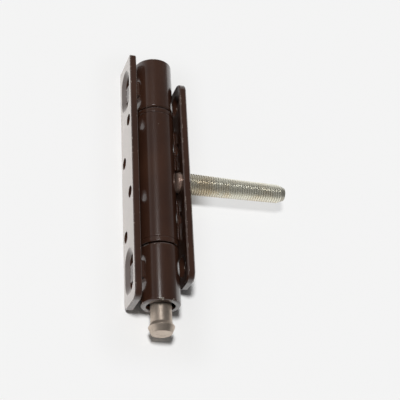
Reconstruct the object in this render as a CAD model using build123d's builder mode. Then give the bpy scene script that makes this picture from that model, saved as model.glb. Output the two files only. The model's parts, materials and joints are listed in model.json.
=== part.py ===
"""Lift-off barrel hinge with a frame plate, a sash leaf on a threaded stud and a loose pin.

Millimetres. The origin is the middle of the frame plate's outer face: X runs from that face
through the barrel to the tip of the stud, Y runs along the barrel and Z across the plates.
"""

import os
from math import sqrt

from build123d import *

# Barrel: two outer knuckles on the frame plate, one knuckle with two flanged bushes between them
barrel_diameter = 22.5
barrel_length = 158.0
outer_knuckle_length = 34.5
knuckle_end_chamfer = 0.7
middle_end_chamfer = 0.3
standoff = 2.3  # from the barrel to the face of either plate
end_play = 0.6  # between a bush flange and the outer knuckle beside it

# Pin
pin_diameter = 12.0
pin_length = 154.0
pin_drawn_out = 15.9  # how far the pin stands out of the barrel in the rest pose
pin_clearance = 0.05  # radial, in the knuckles and the bushes
pin_tip_chamfer = 1.0
head_diameter = 15.0
head_end_diameter = 11.6
head_taper_length = 3.8
head_flare_length = 2.4
head_pocket_diameter = 16.0
head_pocket_spare = 0.7  # depth left behind the head when the pin is home

# Bushes in the middle knuckle
bush_diameter = 16.0
bush_seat_clearance = 0.02  # radial
bush_sleeve_length = 18.0
bush_flange_thickness = 3.0
bush_edge_chamfer = 0.4

# Frame plate
plate_length = 158.0
plate_width = 24.0
plate_thickness = 4.0
plate_head_corner_radius = 5.0  # at the end by the pin's head
plate_far_corner_radius = 1.5
plate_edge_chamfer = 0.5

# Sash leaf
leaf_length = 131.0
leaf_width = 20.0
leaf_thickness = 4.4
leaf_corner_radius = 6.0
leaf_edge_chamfer = 0.7

# Weld slots in the frame plate, sunk from its outer face, behind the outer knuckles
slot_width = 10.8
slot_length = 21.3
slot_inset = 19.75  # from the end of the plate to the slot's middle
slot_sink_depth = 2.0
slot_sink_run = 3.2

# Sunk holes near the ends of the leaf, sunk from its inner face
sunk_hole_diameter = 8.0
sunk_rim_diameter = 13.0
sunk_hole_angle = 90.0
sunk_hole_inset = 12.0  # from the end of the leaf to the hole's middle

# Plain screw holes: a zig-zag of four in the frame plate, two in the leaf
screw_hole_diameter = 7.0
zigzag_pitch = 24.0
zigzag_offset = 5.5
leaf_hole_spacing = 46.0

# Stud
stud_diameter = 12.8  # at the leaf; the thread narrows a little toward the tip
stud_end_diameter = 11.2
stud_projection = 61.9  # beyond the outer face of the leaf
stud_inner_gap = 0.4  # left between the stud's inner end and the barrel
stud_seat_clearance = 0.05  # radial, in the leaf
stud_tip_length = 4.2
stud_tip_diameter = 7.8

# Welds: plugs through the slots to the outer knuckles, beads under the barrel to the leaf
plug_length = 10.5
weld_drop = 6.3  # from the barrel's lowest line to the toe of the weld on it
weld_height = 2.5  # from the root to that toe
weld_rise = 0.7  # of the toe on the leaf beyond the toe on the barrel
weld_hollow = 0.6
leaf_weld_length = 26.0
leaf_weld_start = 10.0  # from the middle of the leaf

# Derived sizes
barrel_radius = barrel_diameter / 2
axis_x = plate_thickness + standoff + barrel_radius
leaf_x = axis_x + barrel_radius + standoff
leaf_outer_x = leaf_x + leaf_thickness
pin_radius = pin_diameter / 2
pin_bore_radius = pin_radius + pin_clearance
head_length = head_taper_length + head_flare_length
head_pocket_depth = head_length + head_pocket_spare
outer_knuckle_start = barrel_length / 2 - outer_knuckle_length
flange_end = outer_knuckle_start - end_play
middle_half_length = flange_end - bush_flange_thickness
pin_head_y = -barrel_length / 2 - pin_drawn_out
pin_tip_y = pin_head_y + pin_length
slot_y = plate_length / 2 - slot_inset
weld_barrel_toe = barrel_radius - weld_drop
weld_leaf_toe = weld_barrel_toe + weld_rise
weld_root = weld_barrel_toe - weld_height
stud_radius = stud_diameter / 2
stud_start_x = axis_x + barrel_radius + stud_inner_gap
stud_tip_x = leaf_outer_x + stud_projection

plate_plane = Plane.YZ
plate_screw_plane = Plane(origin=(0, 0, 0), x_dir=(0, 1, 0), z_dir=(-1, 0, 0))
leaf_plane = Plane.YZ.offset(leaf_x)
leaf_screw_plane = Plane(origin=(leaf_x, 0, 0), x_dir=(0, 1, 0), z_dir=(-1, 0, 0))
barrel_axis = Axis((axis_x, 0, 0), (0, 1, 0))
turned_over = Location((0, 0, 0), (180, 0, 0))


def barrel_plane(y, up=True):
    """Plane square to the barrel at height y, facing along or against Y."""
    return Plane(origin=(axis_x, y, 0), x_dir=(1, 0, 0), z_dir=(0, 1 if up else -1, 0))


def barrel_x(depth):
    """X of the barrel's side toward the leaf at a given depth under its axis."""
    return axis_x + sqrt(barrel_radius**2 - depth**2)


os.makedirs("parts", exist_ok=True)

# Frame plate
with BuildPart() as frame_plate:
    with BuildSketch(plate_plane) as plate_outline:
        Rectangle(plate_length, plate_width)
        fillet(plate_outline.vertices().group_by(Axis.X)[0], plate_head_corner_radius)
        fillet(plate_outline.vertices().group_by(Axis.X)[-1], plate_far_corner_radius)
    extrude(amount=plate_thickness)
    chamfer(frame_plate.faces().sort_by(Axis.X)[0].edges(), plate_edge_chamfer)
    chamfer(frame_plate.faces().sort_by(Axis.X)[-1].edges(), plate_edge_chamfer)
    with BuildSketch(plate_plane):
        with GridLocations(2 * slot_y, 0, 2, 1):
            SlotOverall(slot_length, slot_width)
    extrude(amount=plate_thickness, mode=Mode.SUBTRACT)
    outer_face = frame_plate.faces().sort_by(Axis.X)[0]
    chamfer(outer_face.inner_wires().edges(), slot_sink_run, slot_sink_depth, reference=outer_face)
    with Locations(plate_screw_plane):
        with Locations(
            (1.5 * zigzag_pitch, -zigzag_offset),
            (0.5 * zigzag_pitch, zigzag_offset),
            (-0.5 * zigzag_pitch, -zigzag_offset),
            (-1.5 * zigzag_pitch, zigzag_offset),
        ):
            Hole(screw_hole_diameter / 2)

# Outer knuckles, alike, the lower one turned end for end
with BuildPart() as upper_knuckle:
    with BuildSketch(barrel_plane(outer_knuckle_start)):
        Circle(barrel_radius)
    extrude(amount=outer_knuckle_length)
    chamfer(upper_knuckle.edges(), knuckle_end_chamfer)
    with Locations(barrel_plane(barrel_length / 2)):
        CounterBoreHole(pin_bore_radius, head_pocket_diameter / 2, head_pocket_depth)

with BuildPart() as lower_knuckle:
    with Locations(turned_over):
        add(upper_knuckle.part)

# Middle knuckle and its two flanged bushes
with BuildPart() as middle_knuckle:
    with BuildSketch(barrel_plane(-middle_half_length)):
        Circle(barrel_radius)
    extrude(amount=2 * middle_half_length)
    chamfer(middle_knuckle.edges(), middle_end_chamfer)
    with Locations(barrel_plane(middle_half_length)):
        Hole(bush_diameter / 2 + bush_seat_clearance)

with BuildPart() as upper_bush:
    with BuildSketch(barrel_plane(middle_half_length)):
        Circle(barrel_radius)
    extrude(amount=bush_flange_thickness)
    chamfer(upper_bush.edges().sort_by(Axis.Y)[-1], bush_edge_chamfer)
    with BuildSketch(barrel_plane(middle_half_length, up=False)):
        Circle(bush_diameter / 2)
    extrude(amount=bush_sleeve_length)
    with Locations(barrel_plane(flange_end)):
        Hole(pin_bore_radius)

with BuildPart() as lower_bush:
    with Locations(turned_over):
        add(upper_bush.part)

# Pin, part-way out of the barrel as the photo shows it
with BuildPart() as hinge_pin:
    with BuildSketch(Plane.XY):
        with BuildLine():
            Polyline(
                (axis_x, pin_head_y),
                (axis_x + head_end_diameter / 2, pin_head_y),
                (axis_x + head_diameter / 2, pin_head_y + head_taper_length),
                (axis_x + pin_radius, pin_head_y + head_length),
                (axis_x + pin_radius, pin_tip_y - pin_tip_chamfer),
                (axis_x + pin_radius - pin_tip_chamfer, pin_tip_y),
                (axis_x, pin_tip_y),
                close=True,
            )
        make_face()
    revolve(axis=barrel_axis)

# Sash leaf
with BuildPart() as sash_leaf:
    with BuildSketch(leaf_plane):
        RectangleRounded(leaf_length, leaf_width, leaf_corner_radius)
    extrude(amount=leaf_thickness)
    chamfer(sash_leaf.faces().sort_by(Axis.X)[0].edges(), leaf_edge_chamfer)
    chamfer(sash_leaf.faces().sort_by(Axis.X)[-1].edges(), leaf_edge_chamfer)
    with Locations(leaf_screw_plane):
        with GridLocations(leaf_length - 2 * sunk_hole_inset, 0, 2, 1):
            CounterSinkHole(sunk_hole_diameter / 2, sunk_rim_diameter / 2, counter_sink_angle=sunk_hole_angle)
    with Locations(leaf_screw_plane):
        with GridLocations(leaf_hole_spacing, 0, 2, 1):
            Hole(screw_hole_diameter / 2)
    with Locations(leaf_screw_plane):
        Hole(stud_radius + stud_seat_clearance)

# Stud, screwed through the middle of the leaf
with BuildPart() as threaded_stud:
    with BuildSketch(Plane.XY):
        with BuildLine():
            Polyline(
                (stud_start_x, 0),
                (stud_start_x, stud_radius),
                (leaf_outer_x, stud_radius),
                (stud_tip_x - stud_tip_length, stud_end_diameter / 2),
                (stud_tip_x, stud_tip_diameter / 2),
                (stud_tip_x, 0),
                close=True,
            )
        make_face()
    revolve(axis=Axis.X)

# Plug welds of the outer knuckles, filling the straight part of each slot up to its sunk rim
with BuildPart() as upper_knuckle_welds:
    with BuildSketch(plate_plane.offset(slot_sink_depth)):
        with Locations((slot_y, 0)):
            Rectangle(plug_length, slot_width)
    extrude(amount=axis_x - slot_sink_depth)
    with BuildSketch(barrel_plane(outer_knuckle_start)):
        Circle(barrel_radius)
    extrude(amount=outer_knuckle_length, mode=Mode.SUBTRACT)

with BuildPart() as lower_knuckle_welds:
    with Locations(turned_over):
        add(upper_knuckle_welds.part)

# Beads between the middle knuckle and the leaf, on the lower flank, clear of the stud
with BuildPart() as leaf_welds:
    barrel_root = (barrel_x(weld_root), -weld_root)
    barrel_toe = (barrel_x(weld_barrel_toe), -weld_barrel_toe)
    leaf_toe = (leaf_x, -weld_leaf_toe)
    hollow = ((barrel_toe[0] + leaf_x) / 2, weld_hollow - (weld_barrel_toe + weld_leaf_toe) / 2)
    for end in (1, -1):
        with BuildSketch(Plane.XZ.offset(-end * (leaf_weld_start + leaf_weld_length / 2))):
            with BuildLine():
                Polyline(leaf_toe, (leaf_x, -weld_root), barrel_root)
                RadiusArc(barrel_root, barrel_toe, barrel_radius)
                ThreePointArc(barrel_toe, hollow, leaf_toe)
            make_face()
        extrude(amount=leaf_weld_length / 2, both=True)

frame_plate.part.label = "frame_plate"
export_step(frame_plate.part, "parts/frame_plate.step")
upper_knuckle.part.label = "upper_knuckle"
export_step(upper_knuckle.part, "parts/upper_knuckle.step")
lower_knuckle.part.label = "lower_knuckle"
export_step(lower_knuckle.part, "parts/lower_knuckle.step")
middle_knuckle.part.label = "middle_knuckle"
export_step(middle_knuckle.part, "parts/middle_knuckle.step")
upper_bush.part.label = "upper_bush"
export_step(upper_bush.part, "parts/upper_bush.step")
lower_bush.part.label = "lower_bush"
export_step(lower_bush.part, "parts/lower_bush.step")
hinge_pin.part.label = "hinge_pin"
export_step(hinge_pin.part, "parts/hinge_pin.step")
sash_leaf.part.label = "sash_leaf"
export_step(sash_leaf.part, "parts/sash_leaf.step")
threaded_stud.part.label = "threaded_stud"
export_step(threaded_stud.part, "parts/threaded_stud.step")
upper_knuckle_welds.part.label = "upper_knuckle_welds"
export_step(upper_knuckle_welds.part, "parts/upper_knuckle_welds.step")
lower_knuckle_welds.part.label = "lower_knuckle_welds"
export_step(lower_knuckle_welds.part, "parts/lower_knuckle_welds.step")
leaf_welds.part.label = "leaf_welds"
export_step(leaf_welds.part, "parts/leaf_welds.step")
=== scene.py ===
import json
import math

import bmesh
import bpy
from mathutils import Matrix, Vector

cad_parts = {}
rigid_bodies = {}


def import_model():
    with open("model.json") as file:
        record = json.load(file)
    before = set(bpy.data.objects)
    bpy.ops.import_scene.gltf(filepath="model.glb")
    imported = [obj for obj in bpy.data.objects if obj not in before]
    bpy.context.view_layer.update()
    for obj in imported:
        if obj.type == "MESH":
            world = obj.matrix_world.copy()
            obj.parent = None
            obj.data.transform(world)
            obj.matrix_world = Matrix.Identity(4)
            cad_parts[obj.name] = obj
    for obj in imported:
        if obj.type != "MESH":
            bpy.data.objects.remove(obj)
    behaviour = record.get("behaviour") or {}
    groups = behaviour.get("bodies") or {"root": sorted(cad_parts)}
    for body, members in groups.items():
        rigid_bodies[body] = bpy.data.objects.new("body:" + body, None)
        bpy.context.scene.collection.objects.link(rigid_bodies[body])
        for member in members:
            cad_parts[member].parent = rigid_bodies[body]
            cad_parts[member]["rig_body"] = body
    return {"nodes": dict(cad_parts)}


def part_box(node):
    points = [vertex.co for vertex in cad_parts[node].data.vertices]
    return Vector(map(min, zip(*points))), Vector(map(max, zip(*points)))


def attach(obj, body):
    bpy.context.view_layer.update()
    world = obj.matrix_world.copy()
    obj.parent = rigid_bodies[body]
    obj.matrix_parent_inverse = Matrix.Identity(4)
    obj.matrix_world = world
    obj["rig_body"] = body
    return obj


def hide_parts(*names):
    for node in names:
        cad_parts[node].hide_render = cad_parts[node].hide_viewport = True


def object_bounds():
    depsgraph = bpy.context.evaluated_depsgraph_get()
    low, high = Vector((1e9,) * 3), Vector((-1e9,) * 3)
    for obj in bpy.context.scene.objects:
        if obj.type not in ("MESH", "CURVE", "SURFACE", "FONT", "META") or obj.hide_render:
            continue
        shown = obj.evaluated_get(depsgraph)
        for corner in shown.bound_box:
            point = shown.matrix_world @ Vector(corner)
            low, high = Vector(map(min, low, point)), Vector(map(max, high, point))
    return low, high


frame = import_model()
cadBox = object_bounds()
nodes = frame["nodes"]
mm = 0.001
noiseMean = 0.5
print("hinge: frame loaded with", len(nodes), "nodes")


class Wire:  # a socket in a node tree, with maths on it
    def __init__(self, tree, socket=None):
        self.tree = tree
        self.socket = socket

    def node(self, kind, settings=None, inputs=None, output=0):  # settings are set first, then sockets
        made = self.tree.nodes.new(kind)
        for name, value in (settings or {}).items():
            setattr(made, name, value)
        for name, value in (inputs or {}).items():
            if isinstance(value, Wire):
                self.tree.links.new(value.socket, made.inputs[name])
            else:
                made.inputs[name].default_value = value
        return Wire(self.tree, made.outputs[output]) if made.outputs else made

    def maths(self, operation, *others):
        return self.node("ShaderNodeMath", {"operation": operation}, dict(enumerate((self, *others))))

    def __add__(self, other):
        return self.maths("ADD", other)

    def __sub__(self, other):
        return self.maths("SUBTRACT", other)

    def __rsub__(self, other):
        return self.node("ShaderNodeMath", {"operation": "SUBTRACT"}, {0: other, 1: self})

    def __mul__(self, other):
        return self.maths("MULTIPLY", other)

    def __truediv__(self, other):
        return self.maths("DIVIDE", other)

    def __pow__(self, other):
        return self.maths("POWER", other)

    def __abs__(self):
        return self.maths("ABSOLUTE")

    __radd__ = __add__
    __rmul__ = __mul__

    def atMost(self, other):
        return self.maths("MINIMUM", other)

    def atLeast(self, other):
        return self.maths("MAXIMUM", other)

    def step(self, low, high):  # smooth rise from 0 at low to 1 at high
        ends = {"Value": self, "From Min": low, "From Max": high}
        return self.node("ShaderNodeMapRange", {"interpolation_type": "SMOOTHSTEP"}, ends)

    def noise(self, scale, detail=2.0, roughness=0.5):
        inputs = {"Vector": self, "Scale": scale, "Detail": detail, "Roughness": roughness}
        return self.node("ShaderNodeTexNoise", {}, inputs)

    def mix(self, first, second):  # colours, by this wire's value: 6, 7 and output 2 are the colour sockets
        return self.node("ShaderNodeMix", {"data_type": "RGBA"}, {0: self, 6: first, 7: second}, 2)

    def axes(self):  # the X, Y and Z of this wire's vector
        split = self.node("ShaderNodeSeparateXYZ", {}, {"Vector": self}).socket.node.outputs
        return [Wire(self.tree, split[axis]) for axis in "XYZ"]

    def bumped(self):  # a normal from this wire's height in metres
        return self.node("ShaderNodeBump", {}, {"Height": self, "Strength": 1.0, "Distance": 1.0})


def newMaterial(name):
    material = bpy.data.materials.new(name)
    material.use_nodes = True
    material.node_tree.nodes.clear()
    return material, Wire(material.node_tree)


def closeMaterial(wire, shader):
    wire.node("ShaderNodeOutputMaterial", {}, {"Surface": shader})


def newTree(name, sockets):  # sockets: names of the inputs, by kind
    tree = bpy.data.node_groups.new(name, "GeometryNodeTree")
    for kind, labels in sockets.items():
        for label in labels:
            tree.interface.new_socket(label, in_out="INPUT", socket_type="NodeSocket" + kind)
    tree.interface.new_socket("Mesh", in_out="OUTPUT", socket_type="NodeSocketGeometry")
    inlet = {socket.name: Wire(tree, socket) for socket in tree.nodes.new("NodeGroupInput").outputs}
    return tree, Wire(tree), inlet


def closeTree(wire, mesh, material):
    whole = wire.node("GeometryNodeRealizeInstances", {}, {"Geometry": mesh})
    coated = wire.node("GeometryNodeSetMaterial", {}, {"Geometry": whole, "Material": material})
    wire.node("NodeGroupOutput", {}, {"Mesh": coated})


def setInputs(modifier, values):  # by each socket's identifier
    for item in modifier.node_group.interface.items_tree:
        if item.in_out == "INPUT" and item.name in values:
            modifier[item.identifier] = values[item.name]


def plainMesh(thing):  # the evaluated result as a mesh with no modifiers left
    graph = bpy.context.evaluated_depsgraph_get()
    finished = bpy.data.meshes.new_from_object(thing.evaluated_get(graph))
    thing.modifiers.clear()
    thing.data = finished


def newPiece(name, mesh):
    piece = bpy.data.objects.new(name, mesh)
    bpy.context.scene.collection.objects.link(piece)
    return piece


merging = {
    "distance": 0.002 * mm,
    "flatWithin": math.radians(0.2),
}


def mergedCopy(nodeName):  # loose triangles joined up, flat faces made whole
    mesh = nodes[nodeName].data.copy()
    mesh.materials.clear()
    shape = bmesh.new()
    shape.from_mesh(mesh)
    bmesh.ops.remove_doubles(shape, verts=shape.verts, dist=merging["distance"])
    bmesh.ops.dissolve_limit(shape, angle_limit=merging["flatWithin"], verts=shape.verts, edges=shape.edges)
    shape.to_mesh(mesh)
    shape.free()
    mesh.shade_smooth()
    return newPiece("dressed_" + nodeName, mesh)


def standsFor(piece, nodeName):
    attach(piece, nodes[nodeName]["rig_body"])
    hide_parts(nodeName)


# Brown paint

paint = {
    "colour": (0.047, 0.0195, 0.0110, 1.0),
    "deepColour": (0.035, 0.0140, 0.0082, 1.0),
    "ior": 1.4,
    "roughness": 0.34,
    "coatWeight": 1.0,
    "coatRoughness": 0.14,
    "coatIor": 1.75,
    "mottle": {"scale": 38.0, "detail": 4.0, "roughness": 0.6},
    "deepLevels": (0.35, 0.7),  # of the mottle, from the one colour to the other
    "mottleRoughness": 0.12,
    "peel": {"scale": 900.0},  # orange peel about a millimetre across
    "peelDepth": 0.012 * mm,
    "chips": {"scale": 330.0, "detail": 2.5, "roughness": 0.6},
    "faceChips": 0.765,  # noise level above which paint is gone
    "edgeChips": 0.59,
    "leafChips": 0.555,  # the leaf's edges are the most worn
    "chipEdge": 0.02,  # rise in that noise from whole paint to bare metal
    "chipDepth": 0.03 * mm,
    "chipColour": (0.50, 0.45, 0.39, 1.0),
    "chipMetallic": 0.8,
    "chipRoughness": 0.12,  # on top of the paint's
    "plateSheen": 0.55,  # fine dust on the frame plate
    "sheenRoughness": 0.4,
    "sheenTint": (1.0, 0.92, 0.86, 1.0),
}


def brownPaint(name, chipLevel, sheen=0.0):
    material, wire = newMaterial(name)
    place = wire.node("ShaderNodeTexCoord", output="Object")
    mottle = place.noise(**paint["mottle"])
    peel = place.noise(**paint["peel"])
    chips = place.noise(**paint["chips"]).step(chipLevel, chipLevel + paint["chipEdge"])
    tint = mottle.step(*paint["deepLevels"]).mix(paint["colour"], paint["deepColour"])
    height = peel * paint["peelDepth"] - chips * paint["chipDepth"]
    unevenness = (mottle - noiseMean) * paint["mottleRoughness"] + chips * paint["chipRoughness"]
    surface = {
        "Base Color": chips.mix(tint, paint["chipColour"]),
        "Roughness": paint["roughness"] + unevenness,
        "Metallic": chips * paint["chipMetallic"],
        "Normal": height.bumped(),
        "IOR": paint["ior"],
        "Coat Weight": paint["coatWeight"] - chips * paint["coatWeight"],
        "Coat Roughness": paint["coatRoughness"],
        "Coat IOR": paint["coatIor"],
        "Sheen Weight": sheen,
        "Sheen Roughness": paint["sheenRoughness"],
        "Sheen Tint": paint["sheenTint"],
    }
    closeMaterial(wire, wire.node("ShaderNodeBsdfPrincipled", {}, surface))
    return material


# Turned steel of the pin

steel = {
    "colour": (0.65, 0.55, 0.46, 1.0),
    "darkColour": (0.42, 0.35, 0.285, 1.0),
    "metallic": 0.90,  # dulled by a thin skin of oxide
    "roughness": 0.47,
    "lines": {"Scale": 2600.0, "Detail": 3.0, "Roughness": 0.7},  # rings round the pin and on its end
    "lineDepth": 0.010 * mm,
    "lineLevels": (0.5, 0.8),  # of the noise, from plain to darkest
    "lineTone": 0.3,
    "lineRoughness": 0.12,
    "smudge": {"scale": 260.0, "detail": 5.0, "roughness": 0.65},
    "smudgeLevels": (0.45, 0.75),
    "smudgeTone": 0.7,
    "smudgeRoughness": 0.3,
    "grain": {"scale": 1400.0, "detail": 3.0, "roughness": 0.6},
    "grainDepth": 0.012 * mm,
}


def bareSteel(name, axisX):  # axisX: where the pin's axis lies
    material, wire = newMaterial(name)
    place = wire.node("ShaderNodeTexCoord", output="Object")
    x, y, z = place.axes()
    radius = ((x - axisX) ** 2.0 + z ** 2.0) ** 0.5
    lines = wire.node("ShaderNodeTexNoise", {"noise_dimensions": "1D"}, {"W": y + radius, **steel["lines"]})
    smudge = place.noise(**steel["smudge"])
    grain = place.noise(**steel["grain"])
    smudgeTone = smudge.step(*steel["smudgeLevels"]) * steel["smudgeTone"]
    lineTone = lines.step(*steel["lineLevels"]) * steel["lineTone"]
    height = lines * steel["lineDepth"] + grain * steel["grainDepth"]
    smudgeWear = (smudge - noiseMean) * steel["smudgeRoughness"]
    lineWear = (lines - noiseMean) * steel["lineRoughness"]
    surface = {
        "Base Color": (smudgeTone + lineTone).mix(steel["colour"], steel["darkColour"]),
        "Roughness": steel["roughness"] + (smudgeWear + lineWear),
        "Metallic": steel["metallic"],
        "Normal": height.bumped(),
    }
    closeMaterial(wire, wire.node("ShaderNodeBsdfPrincipled", {}, surface))
    return material


# Plates, knuckles, bushes and pin: the solids with every edge softened

softEdge = {
    "segments": 3,
    "sharperThan": math.radians(28),
    "faceWeight": 60,  # how much large faces lead the shading
    "widths": {
        "frame_plate": 0.28 * mm,
        "sash_leaf": 0.30 * mm,
        "upper_knuckle": 0.45 * mm,
        "lower_knuckle": 0.45 * mm,
        "middle_knuckle": 0.20 * mm,
        "upper_bush": 0.25 * mm,
        "lower_bush": 0.25 * mm,
        "hinge_pin": 0.22 * mm,
    },
}


def softenEdges(piece, width):
    bevel = piece.modifiers.new("softEdges", "BEVEL")
    bevel.width = width
    bevel.segments = softEdge["segments"]
    bevel.limit_method = "ANGLE"
    bevel.angle_limit = softEdge["sharperThan"]
    bevel.material = len(piece.data.materials) - 1  # the worn finish where there is one
    even = piece.modifiers.new("evenShade", "WEIGHTED_NORMAL")
    even.weight = softEdge["faceWeight"]
    plainMesh(piece)


slotRim = {
    "roll": 1.5 * mm,
    "steps": 4,
    "profile": 0.5,
    "inset": 2.0 * mm,  # closer than this to the plate's outline an edge is not a slot's rim
    "nearest": 40.0 * mm,  # the screw holes lie nearer the plate's middle than this
    "faceDepth": 0.01 * mm,  # an edge this close to the outer face lies on it
    "sharperThan": math.radians(10),
}


def rollSlotRims(piece):  # the sunk slots' rims roll over from the plate's outer face
    shape = bmesh.new()
    shape.from_mesh(piece.data)
    low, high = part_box("frame_plate")
    rims = []
    for edge in shape.edges:
        middle = (edge.verts[0].co + edge.verts[1].co) / 2
        onFace = max(corner.co.x for corner in edge.verts) < low.x + slotRim["faceDepth"]
        inside = abs(middle.z) < high.z - slotRim["inset"] and abs(middle.y) < high.y - slotRim["inset"]
        pastHoles = abs(middle.y) > slotRim["nearest"]
        if onFace and inside and pastHoles and len(edge.link_faces) == 2:
            if edge.calc_face_angle() > slotRim["sharperThan"]:
                rims.append(edge)
    bmesh.ops.bevel(shape, geom=rims, offset=slotRim["roll"], segments=slotRim["steps"],
                    profile=slotRim["profile"], affect="EDGES", clamp_overlap=True, material=-1)
    shape.to_mesh(piece.data)
    shape.free()
    piece.data.shade_smooth()
    print("hinge: slot rims rolled at", len(rims), "edges")


pinAxisX = sum(corner.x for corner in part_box("hinge_pin")) / 2
facePaint = brownPaint("brownPaint", paint["faceChips"])
edgePaint = brownPaint("brownPaintWorn", paint["edgeChips"])
leafEdgePaint = brownPaint("brownPaintLeafEdge", paint["leafChips"])
platePaint = brownPaint("brownPaintPlate", paint["faceChips"], paint["plateSheen"])
pinSteel = bareSteel("turnedSteel", pinAxisX)
finishes = {  # of the faces, and of the edges where they wear
    "frame_plate": [platePaint, edgePaint],
    "sash_leaf": [facePaint, leafEdgePaint],
    "upper_knuckle": [facePaint, edgePaint],
    "lower_knuckle": [facePaint, edgePaint],
    "middle_knuckle": [facePaint],
    "upper_bush": [facePaint],
    "lower_bush": [facePaint],
    "hinge_pin": [pinSteel],
}

for nodeName, width in softEdge["widths"].items():
    piece = mergedCopy(nodeName)
    for material in finishes[nodeName]:
        piece.data.materials.append(material)
    if nodeName == "frame_plate":
        rollSlotRims(piece)
    softenEdges(piece, width)
    standsFor(piece, nodeName)
print("hinge: plates, knuckles, bushes and pin dressed")


# Welds: the plain beads rippled as they were laid down

weld = {
    "voxel": 0.34 * mm,
    "smoothing": 4,
    "ripplePitch": 1.5 * mm,
    "rippleDepth": 0.10 * mm,
    "rippleBow": 90.0,  # each ripple bows along the bead by this times its height squared
    "uneven": {"scale": 420.0},  # noise that shifts the ripples and lifts the skin
    "unevenShift": 1.6,  # in ripples
}


def rippleTree():
    sockets = {"Geometry": ["Mesh"], "Float": ["Pitch", "Depth", "Bow"], "Material": ["Material"]}
    tree, wire, inlet = newTree("weldRipples", sockets)
    place = wire.node("GeometryNodeInputPosition")
    y, z = place.axes()[1:]
    jitter = place.noise(**weld["uneven"]) - noiseMean
    phase = (y + z * z * inlet["Bow"]) / inlet["Pitch"] + jitter * weld["unevenShift"]
    ripple = (phase * math.tau).maths("SINE")
    lift = (ripple * 0.5 + jitter) * inlet["Depth"]  # both swing by a half at most
    push = {0: wire.node("GeometryNodeInputNormal"), "Scale": lift}
    offset = wire.node("ShaderNodeVectorMath", {"operation": "SCALE"}, push)
    moved = wire.node("GeometryNodeSetPosition", {}, {"Geometry": inlet["Mesh"], "Offset": offset})
    closeTree(wire, moved, inlet["Material"])
    return tree


ripples = rippleTree()
for nodeName in ("upper_knuckle_welds", "lower_knuckle_welds", "leaf_welds"):
    bead = mergedCopy(nodeName)
    remesh = bead.modifiers.new("skin", "REMESH")
    remesh.mode = "VOXEL"
    remesh.voxel_size = weld["voxel"]
    remesh.use_smooth_shade = True
    smooth = bead.modifiers.new("settle", "SMOOTH")
    smooth.iterations = weld["smoothing"]
    rippled = bead.modifiers.new("ripples", "NODES")
    rippled.node_group = ripples
    setInputs(rippled, {
        "Pitch": weld["ripplePitch"], "Depth": weld["rippleDepth"], "Bow": weld["rippleBow"],
        "Material": facePaint})
    plainMesh(bead)
    standsFor(bead, nodeName)
print("hinge: welds rippled")


# Stud: the plain bar with its thread cut, zinc plated

stud = {
    "pitch": 1.5 * mm,
    "depth": 0.66 * mm,
    "flankLevels": (0.04, 0.9),  # share of the way from a root to a crest where a flank starts and ends
    "endRadius": 5.6 * mm,  # where the tip's chamfer starts
    "tipLength": 4.2 * mm,
    "tipRadius": 3.9 * mm,
    "innerChamfer": 0.8 * mm,
    "rowsPerTurn": 12,
    "columns": 64,
    "seam": 0.0005 * mm,  # points closer than this become one
    "sharperThan": math.radians(50),
}

zinc = {
    "colour": (0.93, 0.91, 0.79, 1.0),
    "warmColour": (0.90, 0.79, 0.60, 1.0),
    "metallic": 0.84,  # dulled zinc
    "roughness": 0.27,
    "hue": {"scale": 70.0, "detail": 3.0, "roughness": 0.6},
    "warmLevels": (0.42, 0.68),  # of the hue's noise, from the one colour to the other
    "grain": {"scale": 1500.0, "detail": 3.0, "roughness": 0.6},
    "grainDepth": 0.006 * mm,
    "grainRoughness": 0.2,
    "shadeAndGrimeColour": (0.20, 0.18, 0.14, 1.0),
    "shadeAndGrimeFrom": 0.42 * mm,  # depth in the thread where grime and painted shade start
    "leastShadeAndGrime": 0.3,
    "hueShadeAndGrime": 0.55,  # more grime and painted shade where the zinc is warmer
    "shadeAndGrimeRoughness": 0.2,
    "innerColour": (0.62, 0.45, 0.37, 1.0),  # stained behind the leaf, under the paint's gloss
    "innerMetallic": 0.75,
    "innerFade": 0.5 * mm,
}


def zincPlate(name, base, taperEnd, leafInside):  # base, taperEnd: X and crest radius at the taper's ends
    material, wire = newMaterial(name)
    place = wire.node("ShaderNodeTexCoord", output="Object")
    x, y, z = place.axes()
    taper = ((x - base[0]) / (taperEnd[0] - base[0])).atLeast(0.0)
    sunk = base[1] - taper * (base[1] - taperEnd[1]) - (y ** 2.0 + z ** 2.0) ** 0.5
    hue = place.noise(**zinc["hue"])
    grain = place.noise(**zinc["grain"])
    # painted shade and grime: the thread roots turn darker with their depth, standing in for the shade
    # between the crests as well as for dirt
    shadeAndGrimeShare = zinc["leastShadeAndGrime"] + hue * zinc["hueShadeAndGrime"]
    shadeAndGrime = sunk.step(zinc["shadeAndGrimeFrom"], stud["depth"]) * shadeAndGrimeShare
    tint = hue.step(*zinc["warmLevels"]).mix(zinc["colour"], zinc["warmColour"])
    clean = x.step(leafInside, leafInside + zinc["innerFade"])  # 0 on the stained inner end
    unevenness = (grain - noiseMean) * zinc["grainRoughness"] + shadeAndGrime * zinc["shadeAndGrimeRoughness"]
    surface = {
        "Base Color": clean.mix(zinc["innerColour"], shadeAndGrime.mix(tint, zinc["shadeAndGrimeColour"])),
        "Roughness": zinc["roughness"] + unevenness,
        "Metallic": zinc["innerMetallic"] + clean * (zinc["metallic"] - zinc["innerMetallic"]),
        "Normal": (grain * zinc["grainDepth"]).bumped(),
        "Coat Weight": paint["coatWeight"] - clean * paint["coatWeight"],
        "Coat Roughness": paint["coatRoughness"],
        "Coat IOR": paint["coatIor"],
    }
    closeMaterial(wire, wire.node("ShaderNodeBsdfPrincipled", {}, surface))
    return material


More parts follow.
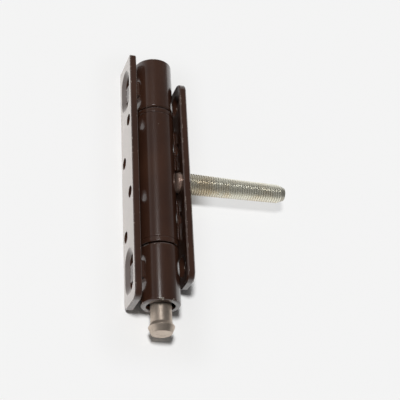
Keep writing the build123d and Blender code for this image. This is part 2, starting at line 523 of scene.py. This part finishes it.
def threadTree():
    sizes = ["Start", "Leaf Face", "Tip", "Radius", "End Radius", "Tip Length", "Tip Radius", "Inner Chamfer"]
    sockets = {"Float": sizes + ["Pitch", "Depth"], "Int": ["Rows", "Columns"], "Material": ["Material"]}
    tree, wire, inlet = newTree("studThread", sockets)
    size = {"Size X": 1.0, "Size Y": 1.0, "Vertices X": inlet["Rows"], "Vertices Y": inlet["Columns"]}
    sheet = wire.node("GeometryNodeMeshGrid", {}, size)
    u, v = (part + 0.5 for part in wire.node("GeometryNodeInputPosition").axes()[:2])  # from 0 to 1
    lastRow = inlet["Rows"] - 1.0
    row = u * lastRow
    share = ((row - 1.0) / (lastRow - 2.0)).atLeast(0.0).atMost(1.0)  # the end rows close the two ends
    x = inlet["Start"] + share * (inlet["Tip"] - inlet["Start"])
    turn = v * math.tau
    taperEnd = inlet["Tip"] - inlet["Tip Length"]
    taper = ((x - inlet["Leaf Face"]) / (taperEnd - inlet["Leaf Face"])).atLeast(0.0)
    crest = inlet["Radius"] - taper * (inlet["Radius"] - inlet["End Radius"])
    wave = (x / inlet["Pitch"] - v).maths("FRACT")
    ridge = (1.0 - abs(wave * 2.0 - 1.0)).step(*stud["flankLevels"])
    thread = crest - (1.0 - ridge) * inlet["Depth"]
    tipSlope = (inlet["End Radius"] - inlet["Tip Radius"]) / inlet["Tip Length"]
    tipCone = inlet["Tip Radius"] + (inlet["Tip"] - x) * tipSlope
    innerCone = inlet["Radius"] - inlet["Inner Chamfer"] + (x - inlet["Start"])
    skin = thread.atMost(tipCone).atMost(innerCone)
    inside = row.maths("GREATER_THAN", 0.5) * row.maths("LESS_THAN", lastRow - 0.5)  # 0 on the end rows
    radius = skin * inside
    spot = {"X": x, "Y": radius * turn.maths("COSINE"), "Z": radius * turn.maths("SINE")}
    position = wire.node("ShaderNodeCombineXYZ", {}, spot)
    placed = wire.node("GeometryNodeSetPosition", {}, {"Geometry": sheet, "Position": position})
    closed = wire.node("GeometryNodeMergeByDistance", {}, {"Geometry": placed, "Distance": stud["seam"]})
    smooth = wire.node("GeometryNodeSetShadeSmooth", {}, {"Geometry": closed})
    closeTree(wire, smooth, inlet["Material"])
    return tree


def cutStud():
    low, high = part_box("threaded_stud")
    leafInside, leafFace = (corner.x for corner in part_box("sash_leaf"))
    taperEnd = (high.x - stud["tipLength"], stud["endRadius"])
    studZinc = zincPlate("zincPlate", (leafFace, high.z), taperEnd, leafInside)
    rod = newPiece("dressed_threaded_stud", bpy.data.meshes.new("dressed_threaded_stud"))
    cut = rod.modifiers.new("thread", "NODES")
    cut.node_group = threadTree()
    turns = (high.x - low.x) / stud["pitch"]
    setInputs(cut, {
        "Start": low.x, "Leaf Face": leafFace, "Tip": high.x, "Radius": high.z,
        "End Radius": stud["endRadius"], "Tip Length": stud["tipLength"], "Tip Radius": stud["tipRadius"],
        "Inner Chamfer": stud["innerChamfer"], "Pitch": stud["pitch"], "Depth": stud["depth"],
        "Rows": int(turns * stud["rowsPerTurn"]), "Columns": stud["columns"] + 1, "Material": studZinc})
    plainMesh(rod)
    shape = bmesh.new()
    shape.from_mesh(rod.data)
    bmesh.ops.recalc_face_normals(shape, faces=shape.faces)
    shape.to_mesh(rod.data)
    shape.free()
    rod.data.set_sharp_from_angle(angle=stud["sharperThan"])
    standsFor(rod, "threaded_stud")


cutStud()
print("hinge: stud threaded")


# Floor, light and camera

studio = {
    "floorHalf": 4.0,
    "floorColour": (0.90, 0.90, 0.895, 1.0),
    "floorRoughness": 0.75,
    "floorIor": 1.25,
    "floorGrain": {"scale": 30.0},
    "grainRoughness": 0.1,
    "glowColour": (1.0, 1.0, 1.0, 1.0),
    "backdrop": 0.92,  # brightness that the camera sees past the floor
    "farGlow": 0.72,  # share of the floor that shows as plain white, away from the hinge's body
    "glowReach": 24 * mm,  # over which that share rises from 0
    "glossGlow": 0.6,  # how much of that share reflections see
    "blendFrom": 0.3,  # metres out, where the floor starts to turn into the backdrop
    "blendTo": 1.4,
    "horizonLight": 0.62,
    "dimSideLight": 0.16,  # at the horizon beyond the stud
    "dimSide": (-0.3, 0.7),  # X of a direction, from full to dim
    "zenithLight": 0.06,
    "zenithFrom": 0.75,  # Z of a direction, above which only the zenith's light is left
    "paleBand": 0.12,  # Z of a direction, up to which reflections see the pale backdrop
}


def seenRays(wire):  # which rays come from the camera, and which through a reflection or a clear piece
    path = wire.node("ShaderNodeLightPath").socket.node.outputs
    kinds = ("Is Camera Ray", "Is Glossy Ray", "Is Transmission Ray")
    camera, gloss, clear = (Wire(wire.tree, path[kind]) for kind in kinds)
    return camera, gloss.atLeast(clear)


def apartFrom(place, pieceNames):  # how far a point of the floor lies outside the box around these pieces
    corners = [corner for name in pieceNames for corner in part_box(name)]
    apart = []
    for axis, part in enumerate(place.axes()[:2]):
        first = min(corner[axis] for corner in corners)
        last = max(corner[axis] for corner in corners)
        apart.append((abs(part - (first + last) / 2) - (last - first) / 2).atLeast(0.0))
    return (apart[0] ** 2.0 + apart[1] ** 2.0) ** 0.5


def paleFloor():
    floorMaterial, wire = newMaterial("paleFloor")
    place = wire.node("ShaderNodeTexCoord", output="Object")
    grain = place.noise(**studio["floorGrain"])
    sheet = wire.node("ShaderNodeBsdfPrincipled", {}, {
        "Base Color": studio["floorColour"],
        "Roughness": studio["floorRoughness"] + grain * studio["grainRoughness"],
        "IOR": studio["floorIor"]})
    white = {"Color": studio["glowColour"], "Strength": studio["backdrop"]}
    glow = wire.node("ShaderNodeEmission", {}, white)
    away = apartFrom(place, ("frame_plate", "sash_leaf", "hinge_pin"))
    # painted light: away from the hinge's body the floor glows plain white, which lightens the shadows that
    # fall there, the stud's among them
    glowShare = away.step(0.0, studio["glowReach"]) * studio["farGlow"]
    blend = away.step(studio["blendFrom"], studio["blendTo"])
    camera, mirrored = seenRays(wire)
    share = camera.atLeast(mirrored * studio["glossGlow"]) * glowShare.atLeast(blend)
    closeMaterial(wire, wire.node("ShaderNodeMixShader", {}, {0: share, 1: sheet, 2: glow}))
    mesh = bpy.data.meshes.new("floor")
    half = studio["floorHalf"]
    level = cadBox[0].z
    corners = [(-half, -half, level), (half, -half, level), (half, half, level), (-half, half, level)]
    mesh.from_pydata(corners, [], [(0, 1, 2, 3)])
    mesh.materials.append(floorMaterial)
    newPiece("floor", mesh)


def softRoom():
    world = bpy.data.worlds.new("studio")
    bpy.context.scene.world = world
    world.use_nodes = True
    world.node_tree.nodes.clear()
    wire = Wire(world.node_tree)
    side, _, height = wire.node("ShaderNodeTexCoord", output="Generated").axes()
    dim = side.step(*studio["dimSide"])
    horizon = studio["horizonLight"] - dim * (studio["horizonLight"] - studio["dimSideLight"])
    glow = horizon - height.step(0.0, studio["zenithFrom"]) * (horizon - studio["zenithLight"])
    camera, mirrored = seenRays(wire)
    seen = camera.atLeast(mirrored * (1.0 - height.step(0.0, studio["paleBand"])))
    strength = glow + seen * (studio["backdrop"] - glow)
    light = wire.node("ShaderNodeBackground", {}, {"Color": studio["glowColour"], "Strength": strength})
    wire.node("ShaderNodeOutputWorld", {}, {"Surface": light})


lamps = [  # strength in watts per square metre, spread in degrees
    {"name": "overheadKey", "toward": (-0.26, 0.07, 0.96), "strength": 2.75, "spread": 11.0, "sheen": False},
    {"name": "rearSheen", "toward": (-0.32, 0.24, 0.915), "strength": 0.54, "spread": 15.0, "sheen": True},
    {"name": "farSheen", "toward": (0.3, 0.86, 0.42), "strength": 0.12, "spread": 36.0, "sheen": True},
]


def hangLamp(name, toward, strength, spread, sheen):  # either the broad light or the sheen alone
    lamp = bpy.data.lights.new(name, "SUN")
    lamp.energy = strength
    lamp.angle = math.radians(spread)
    holder = bpy.data.objects.new(name, lamp)
    holder.rotation_euler = Vector(toward).to_track_quat("Z", "Y").to_euler()
    holder.visible_glossy = sheen
    holder.visible_diffuse = not sheen
    bpy.context.scene.collection.objects.link(holder)


eye = {
    "place": (-0.13703, -0.28997, 0.50814),
    "ahead": (0.29767, 0.46105, -0.83596),
    "right": (0.94932, -0.0504, 0.31024),
    "lens": 93.12,
    "sensor": 36.0,
    "nearest": 0.01,  # closer than this to the lens nothing shows
}


def placeCamera():
    data = bpy.data.cameras.new("eye")
    data.lens = eye["lens"]
    data.sensor_width = eye["sensor"]
    data.clip_start = eye["nearest"]
    camera = bpy.data.objects.new("eye", data)
    back = -Vector(eye["ahead"]).normalized()
    right = Vector(eye["right"])
    right = (right - back * right.dot(back)).normalized()
    up = back.cross(right)
    turn = Matrix((right, up, back)).transposed().to_4x4()
    camera.matrix_world = Matrix.Translation(eye["place"]) @ turn
    bpy.context.scene.collection.objects.link(camera)
    bpy.context.scene.camera = camera


paleFloor()
softRoom()
for lamp in lamps:
    hangLamp(**lamp)
placeCamera()
bpy.context.scene.view_settings.view_transform = "Standard"
print("hinge: floor, light and camera set")
